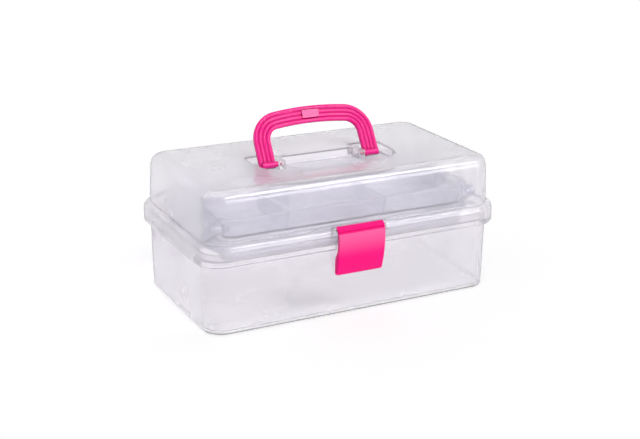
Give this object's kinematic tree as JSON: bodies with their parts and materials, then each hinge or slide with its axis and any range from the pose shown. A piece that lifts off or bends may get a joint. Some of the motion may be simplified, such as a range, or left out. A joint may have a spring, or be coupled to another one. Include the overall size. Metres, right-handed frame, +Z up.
{
  "type": "compartment storage box",
  "caption": "Clear plastic craft storage box with a hinged lid, lift-out style cantilever trays, a folding carry handle and a front clasp.",
  "frame": {"origin": "middle of the underside, on the surface the box stands on", "axes": "+X along the length to the right seen from the front, -Y out of the front with the clasp, +Z up"},
  "size_m": [0.3328, 0.1993, 0.187],
  "materials": {
    "clear_shell": "clear moulded polypropylene, glossy with a faint lavender haze",
    "clear_tray": "clear moulded polystyrene, glossy",
    "pink_plastic": "hot pink moulded polypropylene, satin gloss",
    "steel": "drawn steel wire, plain"
  },
  "bodies": {
    "base": {"base_box": "clear_shell", "hinge_pin_left": "steel", "hinge_pin_right": "steel", "base_arm_rivets": "clear_tray"},
    "lid": {"lid": "clear_shell", "clasp_pin": "steel"},
    "handle": {"carry_handle": "pink_plastic"},
    "clasp": {"front_clasp": "pink_plastic"},
    "front_arms": {"front_arm_left": "clear_tray", "front_arm_right": "clear_tray"},
    "rear_arms": {"rear_arm_left": "clear_tray", "rear_arm_right": "clear_tray"},
    "lower_tray": {"lower_tray": "clear_tray", "lower_tray_rivets": "clear_tray"},
    "upper_tray": {"upper_tray": "clear_tray", "upper_tray_rivets": "clear_tray"}
  },
  "joints": [
    {"name": "lid_hinge", "type": "hinge", "parent": "base", "child": "lid", "pos_m": [0, 0.0982, 0.077], "axis": [-1, 0, 0], "range_deg": [0, 105]},
    {"name": "handle_fold", "type": "hinge", "parent": "lid", "child": "handle", "pos_m": [0, -0.006, 0.1387], "axis": [1, 0, 0], "range_deg": [0, 114]},
    {"name": "clasp_hinge", "type": "hinge", "parent": "lid", "child": "clasp", "pos_m": [0, -0.0896, 0.0908], "axis": [-1, 0, 0], "range_deg": [0, 100]},
    {"name": "front_arm_pivot", "type": "hinge", "parent": "base", "child": "front_arms", "pos_m": [0, 0.012, 0.057], "axis": [-1, 0, 0], "range_deg": [0, 65]},
    {"name": "rear_arm_pivot", "type": "hinge", "parent": "base", "child": "rear_arms", "pos_m": [0, 0.064, 0.057], "axis": [-1, 0, 0], "range_deg": [0, 65]},
    {"name": "lower_tray_level", "type": "hinge", "parent": "front_arms", "child": "lower_tray", "pos_m": [0, -0.02776, 0.08], "axis": [1, 0, 0], "range_deg": [0, 65]},
    {"name": "upper_tray_level", "type": "hinge", "parent": "front_arms", "child": "upper_tray", "pos_m": [0, -0.0658, 0.102], "axis": [1, 0, 0], "range_deg": [0, 65]}
  ],
  "couplings": [
    {"joint": "front_arm_pivot", "follows": "lid_hinge", "ratio": 0.61905},
    {"joint": "rear_arm_pivot", "follows": "lid_hinge", "ratio": 0.61905},
    {"joint": "lower_tray_level", "follows": "lid_hinge", "ratio": 0.61905},
    {"joint": "upper_tray_level", "follows": "lid_hinge", "ratio": 0.61905}
  ]
}
